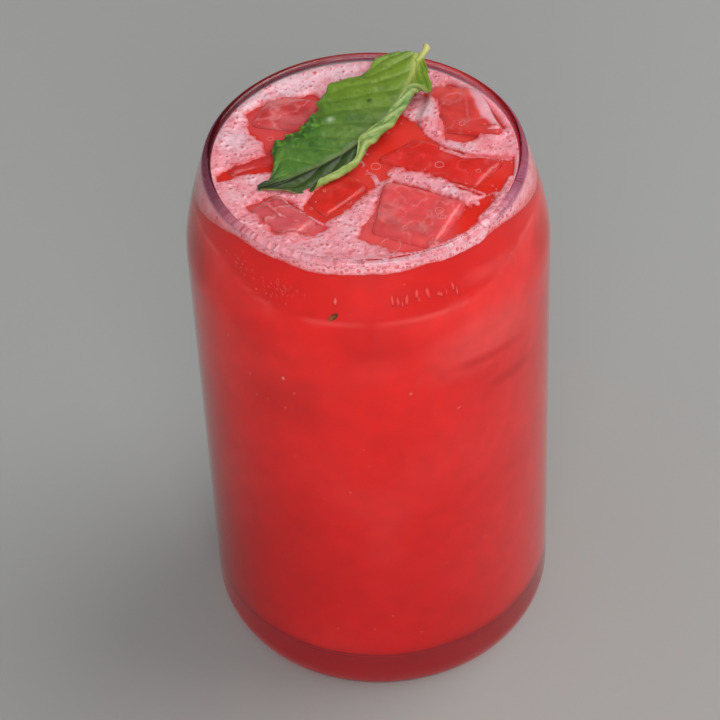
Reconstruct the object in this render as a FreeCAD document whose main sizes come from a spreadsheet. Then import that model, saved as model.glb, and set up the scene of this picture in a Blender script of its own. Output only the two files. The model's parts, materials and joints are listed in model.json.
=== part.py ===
# A can-shaped tumbler of iced watermelon cooler with a mint leaf, in millimetres.
# +Z is up. The origin is the centre of the ring that the glass stands on, in the table's plane.
# +Y points to the back of the rim, where the leaf's stem lies, and +X to the right.
import FreeCAD, Part
import math
import os
import Sketcher

SHEET = "Sizes"
Vector = FreeCAD.Vector

GLASS_SIZES = (
    ("glass_height", 127.0),
    ("side_radius", 38.5),
    ("side_taper", 0.2),
    ("mouth_inset", 5.1),
    ("shoulder_drop", 23.7),
    ("shoulder_bend", 36.0),
    ("shoulder_slope", 126.0),
    ("heel_height", 6.0),
    ("heel_inset", 2.0),
    ("wall", 1.95),
    ("floor_thickness", 8.2),
    ("inner_corner", 5.0),
    ("lip_round", 0.9),
    ("foot_round", 1.2),
    ("punt_inset", 6.5),
    ("punt_depth", 1.4),
)

FILL_SIZES = (
    ("fill_gap", 0.05),
    ("head_room", 2.2),
    ("foam_depth", 2.4),
    ("melt_gap", 0.1),
    ("ice_round", 1.3),
    ("ice_draft", 3.0),
)

# The half-melted cubes that break the surface. Each row gives the bearing of the top face's middle, how
# far that lies from the mouth's inner edge, how far it stands above the foam, the turn about Z, the
# slopes along and across it, the near side's length, the depth from near to far side, how far the left
# and right ends lean in on the way there, and the height.
CUBE_KEYS = (
    "bearing", "inset", "rise", "turn", "tip", "roll", "long", "deep", "lean_left", "lean_right", "tall",
)
CUBES = (
    (-60.7, 10.6, 0.8, -25.2, 0.5, 1.5, 14.2, 15.5, -3.6, -0.6, 20.0),
    (-1.2, 17.3, 0.3, -26.0, 0.0, 0.5, 23.5, 10.0, 5.5, -2.5, 17.0),
    (30.7, 6.0, 2.4, -17.5, -8.0, 10.0, 19.9, 12.5, 0.3, 9.0, 22.0),
    (131.7, 9.6, 0.5, -13.6, 1.0, -1.5, 17.0, 11.0, 2.1, -0.6, 20.0),
    (-137.2, 7.7, 0.6, -46.6, 1.5, 1.5, 12.8, 7.8, 0.9, -0.4, 17.0),
    (-127.9, 20.05, 0.2, 41.5, 0.5, 0.0, 13.0, 10.0, 0.6, 0.4, 16.0),
    (176.1, 9.4, 0.2, 20.9, 0.0, 0.0, 17.7, 4.6, 4.0, 0.2, 13.0),
)

LEAF_SIZES = (
    ("leaf_across", 12.6),
    ("leaf_inset", 2.4),
    ("leaf_lift", 1.6),
    ("leaf_turn", -131.9),
    ("leaf_pitch", 1.5),
    ("leaf_sag", 1.3),
    ("leaf_length", 52.0),
    ("leaf_bow", 17.0),
    ("flat_width", 16.0),
    ("rolled_width", 5.2),
    ("roll_angle", 165.0),
    ("leaf_thickness", 0.5),
    ("rib_thickness", 1.3),
    ("tooth_depth", 1.0),
    ("leaf_wave", 0.5),
    ("stem_radius", 0.85),
    ("stem_back", 3.0),
    ("stem_side", 0.6),
    ("stem_lift", 0.3),
)
TEETH = 10
# Where a tooth's notch and its tip lie, as shares of the tooth's length along the margin.
TOOTH_NOTCH, TOOTH_TIP = 0.12, 0.82
# Where along the rib the blade's right half starts to fold back and where it has, and so at the far end.
FOLD_START, FOLD_END = (0.19, 0.235), (0.60, 0.70)
# Where across that half its bend lies, the slopes in degrees of the open and the folded part next to the
# rib, and where along the rib that slope dies out before the tip.
FOLD_BEND = (0.40, 0.70)
OPEN_SLOPE, FOLDED_SLOPE = -10.0, 8.0
SLOPE_END = (0.97, 0.85)

# The sizes that follow from the ones above.
DERIVED_SIZES = (
    ("side_low_radius", "side_radius - side_taper"),
    ("mouth_radius", "side_radius - mouth_inset"),
    ("heel_radius", "side_radius - heel_inset"),
    ("punt_radius", "side_radius - punt_inset"),
    ("shoulder_start", "glass_height - shoulder_drop"),
    ("foam_top", "glass_height - head_room"),
    ("drink_level", "foam_top - foam_depth"),
    ("leaf_y", "mouth_radius - leaf_inset"),
    ("leaf_z", "glass_height + leaf_lift"),
)

# How wide each half of the blade is along the rib, as (share of the length, share of the half's width).
FLAT_OUTLINE = (
    (0.0, 0.36), (0.05, 0.60), (0.12, 0.77), (0.22, 0.90), (0.38, 0.97), (0.52, 1.0), (0.63, 0.95),
    (0.80, 0.82), (0.88, 0.66), (0.925, 0.42), (0.955, 0.12), (1.0, 0.04),
)
ROLLED_OUTLINE = (
    (0.0, 0.16), (0.05, 0.42), (0.10, 0.68), (0.17, 0.98), (0.20, 0.96), (0.23, 0.84), (0.45, 1.0),
    (0.62, 0.98), (0.72, 1.0), (0.80, 0.96), (0.90, 0.62), (0.96, 0.20), (1.0, 0.08),
)


def fill_sheet(doc):
    """Write every driving size into the sheet, one row each, and give its cell an alias."""
    rows = list(GLASS_SIZES) + list(FILL_SIZES) + list(LEAF_SIZES)
    rows += [(name, "=" + text) for name, text in DERIVED_SIZES]
    for number, values in enumerate(CUBES, start=1):
        cube = f"cube{number}_"
        rows += [(cube + key, value) for key, value in zip(CUBE_KEYS, values)]
        reach = f"=(mouth_radius - wall - {cube}inset)"
        rows.append((cube + "x", f"{reach} * cos({cube}bearing * 1 deg)"))
        rows.append((cube + "y", f"{reach} * sin({cube}bearing * 1 deg)"))
        rows.append((cube + "top", f"=foam_top + {cube}rise"))
    sheet = doc.addObject("Spreadsheet::Sheet", SHEET)
    for row, (alias, value) in enumerate(rows, start=1):
        sheet.set(f"A{row}", alias)
        sheet.set(f"B{row}", str(value))
        sheet.setAlias(f"B{row}", alias)
    doc.recompute()
    return sheet


def formula(text):
    """The same expression with each alias written as a property of the sheet."""
    return " ".join(f"{SHEET}.{word}" if word[0].isalpha() else word for word in text.split())


def value(holder, text):
    """What such an expression comes to."""
    return float(holder.evalExpression(formula(text)))


def new_body(doc, name):
    body = doc.addObject("PartDesign::Body", name)
    body.Label = name
    return body


def new_sketch(body, name, role):
    """A sketch on one of its own body's origin planes."""
    sketch = body.newObject("Sketcher::SketchObject", name)
    plane = next(item for item in body.Origin.OriginFeatures if item.Role == role)
    sketch.AttachmentSupport = (plane, "")
    sketch.MapMode = "FlatFace"
    return sketch


def hold(sketch, kind, curve, end, text):
    """Hold one coordinate of a curve's end at a distance from the sketch's origin."""
    index = sketch.addConstraint(Sketcher.Constraint(kind, -1, 1, curve, end, value(sketch, text)))
    sketch.setExpression(f"Constraints[{index}]", formula(text))


def hold_radius(sketch, arc, text):
    index = sketch.addConstraint(Sketcher.Constraint("Radius", arc, value(sketch, text)))
    sketch.setExpression(f"Constraints[{index}]", formula(text))


def arc_through(start, middle, end):
    """A circular arc that runs anticlockwise from start to end."""
    return Part.Arc(Vector(*start, 0), Vector(*middle, 0), Vector(*end, 0))


def straight(start, end):
    return Part.LineSegment(Vector(*start, 0), Vector(*end, 0))


# ---------------------------------------------------------------- the can shape

def can_outline(body, name, inset, base, corner):
    """Half of the can's section: base, lower corner, side, the two arcs of the shoulder, mouth and axis.

    inset is how far it lies inside the glass's outer face. base and corner are where the lower
    corner starts and ends. All are expressions of the sheet's sizes."""
    side = (f"side_radius - ( {inset} )", "shoulder_start")
    mouth = (f"mouth_radius - ( {inset} )", "glass_height")
    sketch = new_sketch(body, name, "XZ_Plane")
    points = [tuple(value(sketch, text) for text in pair) for pair in (base, corner, side, mouth)]
    heel, low, high, rim = points
    elbow = (low[0] - 0.3 * (low[0] - heel[0]), 0.5 * (heel[1] + low[1]))
    knee = (high[0] - 0.15 * (high[0] - rim[0]), high[1] + 0.3 * (rim[1] - high[1]))
    first_bulge = (high[0] - 0.04 * (high[0] - rim[0]), 0.5 * (high[1] + knee[1]))
    second_bulge = (0.5 * (knee[0] + rim[0]) + 0.2, 0.5 * (knee[1] + rim[1]))
    curves = [
        straight((0, heel[1]), heel),
        arc_through(heel, elbow, low),
        straight(low, high),
        arc_through(high, first_bulge, knee),
        arc_through(knee, second_bulge, rim),
        straight(rim, (0, rim[1])),
        straight((0, rim[1]), (0, heel[1])),
    ]
    sketch.addGeometry(curves, False)
    for first, second in ((0, 1), (4, 5), (5, 6), (6, 0)):
        sketch.addConstraint(Sketcher.Constraint("Coincident", first, 2, second, 1))
    for first in (1, 2, 3):
        sketch.addConstraint(Sketcher.Constraint("Tangent", first, 2, first + 1, 1))
    for level in (0, 5):
        sketch.addConstraint(Sketcher.Constraint("Horizontal", level))
    for curve, end in ((0, 1), (5, 2)):
        sketch.addConstraint(Sketcher.Constraint("PointOnObject", curve, end, -2))
    for curve, pair in ((0, base), (1, corner), (2, side), (4, mouth)):
        hold(sketch, "DistanceX", curve, 2, pair[0])
        hold(sketch, "DistanceY", curve, 2, pair[1])
    hold_radius(sketch, 3, f"shoulder_bend - ( {inset} )")
    hold_radius(sketch, 4, f"shoulder_slope - ( {inset} )")
    return sketch


def inner_outline(body, name, inset):
    """The section of what lies inside the glass's wall, or inside a gap next to it."""
    gap = f"{inset} - wall"
    base = (f"side_low_radius - ( {inset} ) - inner_corner", f"floor_thickness + {gap}")
    corner = (f"side_low_radius - ( {inset} )", f"floor_thickness + {gap} + inner_corner")
    return can_outline(body, name, inset, base, corner)


def turn(body, kind, sketch):
    """Turn a section about the upright axis, adding or cutting."""
    feature = body.newObject(kind, sketch.Name + "_turned")
    feature.Profile = sketch
    feature.ReferenceAxis = (sketch, ["V_Axis"])
    feature.Angle = 360.0
    sketch.Document.recompute()
    return feature


def round_rings(body, feature, rings, radius):
    """Round the circular edges of a body that lie at these heights and radii."""
    names = []
    for number, edge in enumerate(feature.Shape.Edges, start=1):
        if edge.Degenerated or not isinstance(edge.Curve, Part.Circle):
            continue
        for height, reach in rings:
            if abs(edge.Curve.Center.z - height) < 1e-4 and abs(edge.Curve.Radius - reach) < 1e-3:
                names.append(f"Edge{number}")
    if len(names) < len(rings):
        raise RuntimeError(f"{body.Name}: a ring to round by {radius} is missing")
    fillet = body.newObject("PartDesign::Fillet", body.Name + "_" + radius)
    fillet.Base = (feature, names)
    fillet.setExpression("Radius", formula(radius))
    body.Document.recompute()
    return fillet


def punt_outline(body):
    """The shallow dome under the base, which leaves the ring that the glass stands on."""
    sketch = new_sketch(body, "punt", "XZ_Plane")
    reach = value(sketch, "punt_radius")
    depth = value(sketch, "punt_depth")
    dome = arc_through((reach, 0), (0.5 * reach, 0.75 * depth), (0, depth))
    sketch.addGeometry([straight((0, 0), (reach, 0)), dome, straight((0, depth), (0, 0))], False)
    for first, second in ((0, 1), (1, 2), (2, 0)):
        sketch.addConstraint(Sketcher.Constraint("Coincident", first, 2, second, 1))
    sketch.addConstraint(Sketcher.Constraint("Coincident", 0, 1, -1, 1))
    sketch.addConstraint(Sketcher.Constraint("PointOnObject", 1, 3, -2))
    hold(sketch, "DistanceX", 0, 2, "punt_radius")
    hold(sketch, "DistanceY", 0, 2, "0")
    hold(sketch, "DistanceX", 1, 2, "0")
    hold(sketch, "DistanceY", 1, 2, "punt_depth")
    return sketch


def make_glass(doc):
    """The tumbler: a turned can shape with a thick floor, a punt underneath and a rounded lip."""
    body = new_body(doc, "glass")
    base = ("heel_radius", "0")
    corner = ("side_low_radius", "heel_height")
    solid = turn(body, "PartDesign::Revolution", can_outline(body, "outside", "0", base, corner))
    hollow = turn(body, "PartDesign::Groove", inner_outline(body, "inside", "wall"))
    footed = turn(body, "PartDesign::Groove", punt_outline(body))
    if not solid.Shape.Volume > hollow.Shape.Volume > footed.Shape.Volume:
        raise RuntimeError("a groove of the glass cuts nothing")
    height = value(body, "glass_height")
    lips = [(height, value(body, "mouth_radius")), (height, value(body, "mouth_radius - wall"))]
    smooth = round_rings(body, footed, lips, "lip_round")
    round_rings(body, smooth, [(0.0, value(body, "heel_radius"))], "foot_round")
    return body


# ---------------------------------------------------------------- ice, drink and foam

def make_cube(doc, number, name, grow):
    """One half-melted cube, or with grow the slightly larger room that it floats in."""
    cube = f"cube{number}_"
    body = new_body(doc, name)
    sketch = new_sketch(body, name + "_top", "XY_Plane")
    half_long = f"{cube}long / 2 + {grow}"
    half_deep = f"{cube}deep / 2 + {grow}"
    corners = (
        (f"-1 * ( {half_long} )", f"-1 * ( {half_deep} )"),
        (half_long, f"-1 * ( {half_deep} )"),
        (f"{half_long} - {cube}lean_right", half_deep),
        (f"{cube}lean_left - ( {half_long} )", half_deep),
    )
    points = [tuple(value(sketch, text) for text in corner) for corner in corners]
    for side, start in enumerate(points):
        sketch.addGeometry(straight(start, points[(side + 1) % len(points)]), False)
    for side, corner in enumerate(corners):
        sketch.addConstraint(Sketcher.Constraint("Coincident", side - 1 if side else 3, 2, side, 1))
        hold(sketch, "DistanceX", side, 1, corner[0])
        hold(sketch, "DistanceY", side, 1, corner[1])
    pad = body.newObject("PartDesign::Pad", name + "_block")
    pad.Profile = sketch
    pad.Reversed = True
    pad.setExpression("Length", formula(f"{cube}tall + {grow}"))
    pad.setExpression("TaperAngle", formula("-1 * ice_draft"))
    doc.recompute()
    melted = body.newObject("PartDesign::Fillet", name + "_melted")
    melted.Base = (pad, [f"Edge{edge}" for edge in range(1, len(pad.Shape.Edges) + 1)])
    melted.setExpression("Radius", formula("ice_round"))
    middle = formula(f"{cube}x ; {cube}y ; {cube}top")
    slope = formula(f"{cube}turn ; {cube}tip ; {cube}roll")
    body.setExpression("Placement", f"placement(vector({middle}); rotation({slope}))")
    doc.recompute()
    return body


def make_slab(doc, name, low, rise):
    """The round slab of space between two levels that a filling takes up."""
    slab = doc.addObject("Part::Cylinder", name)
    slab.setExpression("Radius", formula("side_radius"))
    slab.setExpression("Height", formula(rise))
    slab.setExpression("Placement.Base.z", formula(low))
    return slab


def make_filling(doc, name, inside, slab, rooms):
    """What fills the glass between two levels, with the cubes' rooms cut out of it."""
    layer = doc.addObject("Part::Common", name + "_layer")
    layer.Base = inside
    layer.Tool = slab
    filling = doc.addObject("Part::Cut", name)
    filling.Label = name
    filling.Base = layer
    filling.Tool = rooms
    return filling


# ---------------------------------------------------------------- the mint leaf

def outline_share(outline, along):
    """How wide a half of the blade is at this share of the rib, beside its full width."""
    for (start, before), (end, after) in zip(outline, outline[1:]):
        if along <= end:
            return before + (after - before) * (along - start) / (end - start)
    return outline[-1][1]


def eased(low, high, at):
    """A smooth step from 0 at low to 1 at high."""
    share = min(max((at - low) / (high - low), 0.0), 1.0)
    return share * share * (3 - 2 * share)


def flat_half(sheet, along, width):
    """Points (across, up, slope) of the half that lies flat, from the rib out to its margin."""
    wave = sheet.get("leaf_wave") * math.sin(10 * math.pi * along) * eased(1.0, 0.85, along)
    points = []
    for share in (0.0, 0.08, 0.3, 0.55, 0.8, 1.0):
        up = width * (0.12 * share - 0.18 * share * share) + wave * share * share
        slope = 0.12 - 0.36 * share + 2 * wave * share / width
        points.append((share * width, up, math.atan(slope)))
    return points


def rolled_half(sheet, along, width):
    """Points (across, up, slope) of the half that is folded back over itself towards the rib.

    It lies open at the leaf's base and again before the tip, where it slopes down from the rib."""
    folded = eased(*FOLD_START, along) * (1 - eased(*FOLD_END, along))
    start = math.radians(OPEN_SLOPE + (FOLDED_SLOPE - OPEN_SLOPE) * folded) * eased(*SLOPE_END, along)
    rolled = math.radians(sheet.get("roll_angle")) * folded
    steps = 40
    across = up = 0.0
    points = [(0.0, 0.0, start)]
    for step in range(1, steps + 1):
        share = step / steps
        slope = start + rolled * eased(*FOLD_BEND, share)
        across += math.cos(slope) * width / steps
        up += math.sin(slope) * width / steps
        if step in (3, 8, 14, 18, 22, 26, 31, 40):
            points.append((across, up, slope))
    return points


def leaf_section(sheet, along, tooth):
    """The closed outline of the blade across its rib at one share of its length.

    tooth is 0 at the tip of a tooth of the margin and 1 in the notch next to it."""
    length = sheet.get("leaf_length")
    bow = sheet.get("leaf_bow")
    notch = tooth * sheet.get("tooth_depth")
    rib = Vector(length * along, 2 * bow * along * (1 - along), -sheet.get("leaf_sag") * along**2)
    heading = Vector(length, 2 * bow * (1 - 2 * along), 0).normalize()
    side = Vector(-heading.y, heading.x, 0)
    least = sheet.get("stem_radius")
    flat_width = max(sheet.get("flat_width") * outline_share(FLAT_OUTLINE, along) - notch, least)
    rolled_width = max(sheet.get("rolled_width") * outline_share(ROLLED_OUTLINE, along) - 0.6 * notch, least)
    flat = [(-across, up, -slope, across) for across, up, slope in flat_half(sheet, along, flat_width)]
    folded = rolled_half(sheet, along, rolled_width)
    rolled = [(across, up, slope, across + up) for across, up, slope in folded]
    skin = sheet.get("leaf_thickness")
    rib_swell = (sheet.get("rib_thickness") - skin) * eased(1.0, 0.3, along)
    top, bottom = [], []
    for across, up, slope, reach in flat[:0:-1] + rolled:
        depth = skin + rib_swell * math.exp(-((reach / 1.1) ** 2))
        top.append(rib + side * across + Vector(0, 0, up))
        under = (across + depth * math.sin(slope), up - depth * math.cos(slope))
        bottom.append(rib + side * under[0] + Vector(0, 0, under[1]))
    even = [place / (len(top) - 1) for place in range(len(top))]
    upper, lower = Part.BSplineCurve(), Part.BSplineCurve()
    upper.interpolate(Points=top, Parameters=even)
    lower.interpolate(Points=bottom[::-1], Parameters=even)
    margins = [Part.LineSegment(top[-1], bottom[-1]), Part.LineSegment(bottom[0], top[0])]
    edges = [upper.toShape(), margins[0].toShape(), lower.toShape(), margins[1].toShape()]
    return Part.Wire(edges)


def leaf_shape(sheet):
    """The blade, lofted from notch to tooth along the rib, with the stem joined to its base."""
    sections = []
    for tooth in range(TEETH):
        sections.append(leaf_section(sheet, (tooth + TOOTH_NOTCH) / TEETH, 1.0))
        sections.append(leaf_section(sheet, (tooth + TOOTH_TIP) / TEETH, 0.0))
    sections.append(leaf_section(sheet, 1.0, 0.0))
    blade = Part.makeLoft(sections, True, True)
    radius = sheet.get("stem_radius")
    root = Vector(0.05 * sheet.get("leaf_length"), 0.1 * sheet.get("leaf_bow"), -0.3 * radius)
    end = Vector(-sheet.get("stem_back"), sheet.get("stem_side"), sheet.get("stem_lift"))
    stem = Part.makeCone(0.6 * radius, radius, (end - root).Length, root, end - root)
    return blade.fuse(stem).removeSplitter()


def make_leaf(doc, sheet):
    leaf = doc.addObject("Part::Feature", "mint_leaf")
    leaf.Label = "mint_leaf"
    leaf.Shape = leaf_shape(sheet)
    middle = formula("leaf_across ; leaf_y ; leaf_z")
    slope = formula("leaf_turn ; leaf_pitch ; 0")
    leaf.setExpression("Placement", f"placement(vector({middle}); rotation({slope}))")
    return leaf


# ---------------------------------------------------------------- the whole drink

def build():
    doc = FreeCAD.newDocument("watermelon_cooler")
    sheet = fill_sheet(doc)
    glass = make_glass(doc)
    inside = new_body(doc, "inside_of_glass")
    turn(inside, "PartDesign::Revolution", inner_outline(inside, "filling", "wall + fill_gap"))
    numbers = range(1, len(CUBES) + 1)
    cubes = [make_cube(doc, number, f"ice_cube_{number}", "0") for number in numbers]
    rooms = doc.addObject("Part::MultiFuse", "cube_rooms")
    rooms.Shapes = [make_cube(doc, number, f"cube_room_{number}", "melt_gap") for number in numbers]
    drink_slab = make_slab(doc, "drink_slab", "0", "drink_level")
    foam_slab = make_slab(doc, "foam_slab", "drink_level", "foam_depth")
    drink = make_filling(doc, "drink", inside, drink_slab, rooms)
    foam = make_filling(doc, "foam", inside, foam_slab, rooms)
    leaf = make_leaf(doc, sheet)
    doc.recompute()
    return doc, [glass, drink, foam, leaf] + cubes


def check(doc, nodes):
    """Stop at any object that failed, and at any node that isn't one valid solid."""
    for item in doc.Objects:
        if any(state in ("Invalid", "Error") for state in item.State):
            raise RuntimeError(f"{item.Name} failed: {item.State}")
    for node in nodes:
        shape = node.Shape
        if shape.isNull() or not shape.isValid() or len(shape.Solids) != 1:
            raise RuntimeError(f"{node.Label} isn't one valid solid")


def main():
    doc, nodes = build()
    check(doc, nodes)
    os.makedirs("parts", exist_ok=True)
    for node in nodes:
        node.Shape.exportStep(f"parts/{node.Label}.step")
        print(node.Label, round(node.Shape.Volume / 1000, 3), "cm3", node.Shape.BoundBox)


main()
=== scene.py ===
import json
import math

import bmesh
import bpy
import numpy as np
from mathutils import Matrix, Vector, noise
from mathutils.bvhtree import BVHTree

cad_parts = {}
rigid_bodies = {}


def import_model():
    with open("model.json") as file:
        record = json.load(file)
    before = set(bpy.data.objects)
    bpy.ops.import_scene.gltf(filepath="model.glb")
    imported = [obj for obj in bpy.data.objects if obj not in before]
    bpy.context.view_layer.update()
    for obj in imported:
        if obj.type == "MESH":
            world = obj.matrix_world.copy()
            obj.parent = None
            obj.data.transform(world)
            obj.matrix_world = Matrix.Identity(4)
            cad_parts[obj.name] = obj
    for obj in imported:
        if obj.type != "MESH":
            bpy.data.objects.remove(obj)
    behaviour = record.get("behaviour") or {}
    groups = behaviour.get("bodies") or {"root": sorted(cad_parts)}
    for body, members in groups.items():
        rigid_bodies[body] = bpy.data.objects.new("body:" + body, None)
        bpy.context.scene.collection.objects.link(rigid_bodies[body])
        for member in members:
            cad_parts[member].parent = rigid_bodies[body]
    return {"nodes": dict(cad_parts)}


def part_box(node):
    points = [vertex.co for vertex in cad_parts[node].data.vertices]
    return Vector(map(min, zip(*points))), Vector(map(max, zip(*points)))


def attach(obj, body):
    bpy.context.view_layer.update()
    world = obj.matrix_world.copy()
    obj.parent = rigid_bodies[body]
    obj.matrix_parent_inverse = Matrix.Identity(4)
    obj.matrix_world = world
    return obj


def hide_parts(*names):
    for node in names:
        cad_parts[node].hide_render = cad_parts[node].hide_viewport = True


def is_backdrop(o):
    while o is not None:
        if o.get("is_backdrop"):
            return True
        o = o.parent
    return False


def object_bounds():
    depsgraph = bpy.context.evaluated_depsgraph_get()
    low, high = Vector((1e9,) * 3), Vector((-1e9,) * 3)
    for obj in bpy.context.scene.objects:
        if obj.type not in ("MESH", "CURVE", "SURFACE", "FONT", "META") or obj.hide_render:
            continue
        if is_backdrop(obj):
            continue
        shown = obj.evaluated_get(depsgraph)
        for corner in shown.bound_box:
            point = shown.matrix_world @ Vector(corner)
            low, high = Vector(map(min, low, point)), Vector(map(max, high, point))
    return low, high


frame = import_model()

MM = 0.001
CAD_BOX = [list(corner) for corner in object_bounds()]
CUBES = [f"ice_cube_{number}" for number in range(1, 8)]


def box_mm(node):
    """The lowest and highest corner of a CAD node, in millimetres."""
    return [np.array(corner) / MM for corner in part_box(node)]


# ---- sizes, in millimetres

GLASS_LOW, GLASS_HIGH = box_mm("glass")
HEIGHT = GLASS_HIGH[2]
SIDE_TOP = (GLASS_HIGH[0] - GLASS_LOW[0]) / 2
SIDE_LOW = SIDE_TOP - 0.2
MOUTH = SIDE_TOP - 5.1
SHOULDER = HEIGHT - 23.7
BEND, SLOPE = 36.0, 126.0
HEEL_Z, HEEL_R = 6.0, SIDE_TOP - 2.0
WALL, FLOOR, CORNER = 1.95, 8.2, 5.0
LIP_ROUND, FOOT_ROUND = 0.9, 1.2
PUNT_R, PUNT_Z = SIDE_TOP - 6.5, 1.4
FOAM_TOP = box_mm("foam")[1][2]
DRINK_TOP = FOAM_TOP - 0.45
SKIRT_LOW = HEIGHT - 3.6
DRINK_EDGE = DRINK_TOP - 0.6    # where the drink's face leaves the wall
DRINK_REACH, FOAM_REACH = 0.12, 0.26    # how far both reach into the wall, so that no air shows between
ICE_VOXEL, ROOM_MARGIN = 0.4, 0.55    # the fineness of the ice, and how much smaller its room in the drink is

GLASS_SIDES, DRINK_SIDES, BAND_SIDES = 208, 320, 760
SIDE_BUBBLES, TOP_BUBBLES, RING_BUBBLES = 420, 2000, 64


# ---- small helpers

def linear(*rgb):
    """A colour given as screen values from 0 to 255, as the linear values that Blender works in."""
    share = np.array(rgb, float) / 255
    return np.where(share <= 0.04045, share / 12.92, ((share + 0.055) / 1.055) ** 2.4)


def rgba(*rgb):
    return (*linear(*rgb), 1)


def filled(rgb, shape):
    """One screen colour at every place of an array of this shape."""
    return linear(*rgb) * np.ones((*shape, 3))


def eased(low, high, at):
    """A smooth step from 0 at low to 1 at high."""
    share = np.clip((np.asarray(at, float) - low) / (high - low), 0, 1)
    return share * share * (3 - 2 * share)


def hump(away, width):
    """1 where away is 0, falling off softly over this width."""
    return np.exp(-((away / width) ** 2))


def mixed(first, second, share):
    """Two colours mixed point by point."""
    share = np.asarray(share)[..., None]
    return first * (1 - share) + second * share


def painted(colour, *coats):
    """Colours with coats laid on one by one, each a screen colour and its share at each place."""
    for rgb, share in coats:
        colour = mixed(colour, linear(*rgb), share)
    return colour


def soft(seed, u, v, cell):
    """Smooth noise from -1 to 1 whose bumps are about one cell across."""
    lattice = np.random.default_rng(seed).uniform(-1, 1, (96, 96))
    x, y = u / cell, v / cell
    left, low = np.floor(x).astype(int), np.floor(y).astype(int)
    fx, fy = x - left, y - low
    fx, fy = fx * fx * (3 - 2 * fx), fy * fy * (3 - 2 * fy)
    corner = lambda i, j: lattice[(left + i) % 96, (low + j) % 96]
    near = corner(0, 0) * (1 - fx) + corner(1, 0) * fx
    far = corner(0, 1) * (1 - fx) + corner(1, 1) * fx
    return near * (1 - fy) + far * fy


def rough(seed, u, v, cell):
    """Three layers of smooth noise, each half the size of the one before."""
    return sum(soft(seed + i, u, v, cell / 2**i) / 2**i for i in range(3)) / 1.75


def blurred(field, times):
    for _ in range(times):
        field = (np.roll(field, 1, 0) + field + np.roll(field, -1, 0)) / 3
        field = (np.roll(field, 1, 1) + field + np.roll(field, -1, 1)) / 3
    return field


def turns(count):
    """Angles once round a circle."""
    return np.linspace(0, 2 * math.pi, count, endpoint=False)


def rotated(u, v, turn):
    """A flat vector turned anticlockwise."""
    return u * math.cos(turn) - v * math.sin(turn), u * math.sin(turn) + v * math.cos(turn)


def stacked(x, y, z):
    return np.stack(np.broadcast_arrays(x, y, z), -1)


def round_axis(angle, radius, height):
    """Points round the axis. angle is 0 at the front and grows to the right."""
    return stacked(radius * np.sin(angle), -radius * np.cos(angle), height)


def grid_faces(rows, columns, wrap=False, closed=False):
    """The quads of a grid of points, joined across its columns with wrap and across its rows with closed."""
    faces = []
    for row in range(rows if closed else rows - 1):
        for column in range(columns if wrap else columns - 1):
            after = (column + 1) % columns
            low, high = row * columns, (row + 1) % rows * columns
            faces.append((low + column, low + after, high + after, high + column))
    return faces


def tube_faces(rings, around):
    """The faces of a tube whose last two points close its first and its last ring."""
    faces = grid_faces(rings, around, wrap=True)
    top, first = (rings - 1) * around, rings * around
    for column in range(around):
        after = (column + 1) % around
        faces += [(first, after, column), (first + 1, top + column, top + after)]
    return faces


def shifted(faces, start):
    """Faces whose points come after this many others."""
    return [tuple(start + i for i in face) for face in faces]


def closed_sheet(top, count):
    """A sheet's faces with the same faces below, this many points on, and walls round its border."""
    edges = {edge for face in top for edge in zip(face, face[1:] + face[:1])}
    walls = [(b, a, a + count, b + count) for a, b in sorted(edges) if (b, a) not in edges]
    return top + shifted((face[::-1] for face in top), count) + walls


def new_object(name, data):
    made = bpy.data.objects.new(name, data)
    bpy.context.scene.collection.objects.link(made)
    return made


def new_piece(name, points_mm, faces, material, colours=None):
    """A smooth mesh object from points in millimetres, with a colour at each point if given."""
    mesh = bpy.data.meshes.new(name)
    mesh.from_pydata((np.asarray(points_mm, float) * MM).tolist(), [], faces)
    work = bmesh.new()
    work.from_mesh(mesh)
    bmesh.ops.recalc_face_normals(work, faces=work.faces)
    work.to_mesh(mesh)
    work.free()
    dressed(mesh, material)
    if colours is not None:
        paint(mesh, colours)
    return new_object(name, mesh)


def paint(mesh, colours):
    """Store a colour at each point of a mesh."""
    layer = mesh.color_attributes.new("tint", "FLOAT_COLOR", "POINT")
    values = np.ones((len(mesh.vertices), 4), np.float32)
    values[:, :3] = np.clip(colours, 0, 1)
    layer.data.foreach_set("color", values.ravel())


def rows_of(items, key, width):
    """One value of each of a mesh's items, as the rows of an array."""
    values = np.empty((len(items), width))
    items.foreach_get(key, values.ravel())
    return values


def points_of(mesh):
    return rows_of(mesh.vertices, "co", 3) / MM


def normals_of(mesh):
    return rows_of(mesh.vertex_normals, "vector", 3)


def move_points(mesh, points_mm):
    mesh.vertices.foreach_set("co", (points_mm * MM).astype(np.float32).ravel())
    mesh.update()


def dressed(mesh, material):
    """Make a mesh smooth, with this as its only material."""
    mesh.shade_smooth()
    mesh.materials.clear()
    mesh.materials.append(material)


def baked(piece):
    """Apply a piece's modifiers and return its new mesh."""
    graph = bpy.context.evaluated_depsgraph_get()
    mesh = bpy.data.meshes.new_from_object(piece.evaluated_get(graph))
    piece.modifiers.clear()
    piece.data = mesh
    return mesh


# ---- node materials

def new_material(name):
    material = bpy.data.materials.new(name)
    material.use_nodes = True
    return material, material.node_tree


def wired(tree, made, inputs):
    """Give a node's sockets their values. inputs maps a socket's name or number to a value or another socket."""
    for key, setting in inputs.items():
        if isinstance(setting, bpy.types.NodeSocket):
            tree.links.new(setting, made.inputs[key])
        else:
            made.inputs[key].default_value = setting
    return made


def node(tree, kind, inputs={}, **settings):
    """A new shader node."""
    made = tree.nodes.new(kind)
    for key, setting in settings.items():
        setattr(made, key, setting)
    return wired(tree, made, inputs)


def tint_of(tree):
    return node(tree, "ShaderNodeVertexColor", layer_name="tint").outputs["Color"]


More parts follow.
